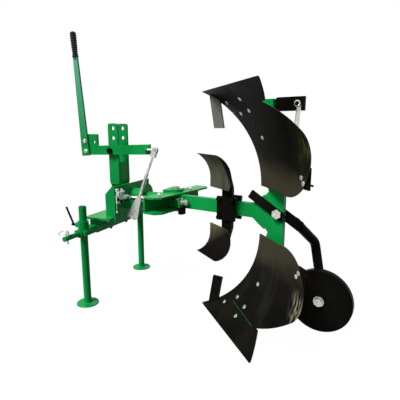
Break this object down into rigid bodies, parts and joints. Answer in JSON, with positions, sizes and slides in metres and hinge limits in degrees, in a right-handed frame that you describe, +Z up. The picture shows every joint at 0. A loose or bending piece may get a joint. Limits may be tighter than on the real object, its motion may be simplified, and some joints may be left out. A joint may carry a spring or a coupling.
{
  "type": "reversible moldboard plough",
  "caption": "Mounted turnover plough: hitch headstock with lever and legs, swivelling beam, paired twisted moldboard bodies with skimmers, and a swing-over gauge wheel.",
  "frame": {"origin": "on the floor, under the middle of the plough's box", "axes": "+X rearward from the hitch along the turnover shaft, +Y to the plough's right, +Z up"},
  "size_m": [1.3026, 0.7928, 1.2446],
  "materials": {
    "green_paint": "gloss",
    "black_paint": "gloss",
    "zinc_plate": "satin",
    "rubber_grip": "matte"
  },
  "bodies": {
    "headstock": {"cross_bar": "green_paint", "base_plate": "green_paint", "base_spacers": "green_paint", "headstock_web": "green_paint", "headstock_sides": "green_paint", "mast_box": "green_paint", "mast_plate_left": "green_paint", "mast_plate_right": "green_paint", "bearing_tube": "green_paint", "lock_plunger": "zinc_plate", "plunger_bush": "zinc_plate", "latch_bracket": "green_paint", "lever_bolt": "zinc_plate", "leg_socket_left": "green_paint", "leg_socket_right": "green_paint", "leg_screw_left": "black_paint", "leg_screw_right": "black_paint"},
    "leg_left": {"leg_tube_left": "green_paint", "foot_left": "green_paint"},
    "leg_right": {"leg_tube_right": "green_paint", "foot_right": "green_paint"},
    "lever": {"lever_arm": "green_paint", "lever_bar": "green_paint", "lever_grip": "rubber_grip", "rod_pin": "zinc_plate"},
    "pull_rod": {"pull_rod": "zinc_plate", "rod_yoke": "zinc_plate"},
    "turnover": {"turn_shaft": "green_paint", "shaft_head": "green_paint", "cross_channel": "green_paint", "swivel_bolt": "zinc_plate", "beam": "green_paint", "frog_plate": "green_paint", "clamp_plate_left": "black_paint", "clamp_plate_right": "black_paint", "clamp_bolts": "black_paint", "stop_bar": "black_paint", "share_lower": "black_paint", "share_upper": "black_paint", "moldboard_lower": "black_paint", "moldboard_upper": "black_paint", "landside_lower": "black_paint", "landside_upper": "black_paint", "board_stay_lower": "zinc_plate", "board_stay_upper": "zinc_plate", "fin_coulter_lower": "black_paint", "fin_coulter_upper": "black_paint", "skimmer_lower": "black_paint", "skimmer_upper": "black_paint", "skimmer_shank_lower": "black_paint", "skimmer_shank_upper": "black_paint"},
    "wheel_arm": {"arm_bar": "black_paint", "arm_pin": "zinc_plate", "wheel_stem": "black_paint", "axle_cap": "zinc_plate"},
    "wheel": {"gauge_wheel": "black_paint"}
  },
  "joints": [
    {"name": "turnover_swing", "type": "hinge", "parent": "headstock", "child": "turnover", "pos_m": [-0.32269, 0.02439, 0.477], "axis": [-1, 0, 0], "range_deg": [0, 180]},
    {"name": "wheel_arm_swing", "type": "hinge", "parent": "turnover", "child": "wheel_arm", "pos_m": [0.35467, -0.11349, 0.477], "axis": [-0.2079, -0.9781, 0], "range_deg": [0, 131.3]},
    {"name": "wheel_roll", "type": "hinge", "parent": "wheel_arm", "child": "wheel", "pos_m": [0.52377, -0.07787, 0.128], "axis": [-0.2079, -0.9781, 0], "continuous": true},
    {"name": "lever_pull", "type": "hinge", "parent": "headstock", "child": "lever", "pos_m": [-0.46469, -0.03761, 0.698], "axis": [0, -1, 0], "range_deg": [0, 12]},
    {"name": "pull_rod_swing", "type": "hinge", "parent": "lever", "child": "pull_rod", "pos_m": [-0.20969, -0.05911, 0.708], "axis": [0, -1, 0], "range_deg": [-8, 0]},
    {"name": "leg_left_slide", "type": "slide", "parent": "headstock", "child": "leg_left", "axis": [0, 0, 1], "range_m": [0, 0.2]},
    {"name": "leg_right_slide", "type": "slide", "parent": "headstock", "child": "leg_right", "axis": [0, 0, 1], "range_m": [0, 0.2]}
  ],
  "couplings": [
    {"joint": "pull_rod_swing", "follows": "lever_pull", "ratio": -0.606}
  ]
}
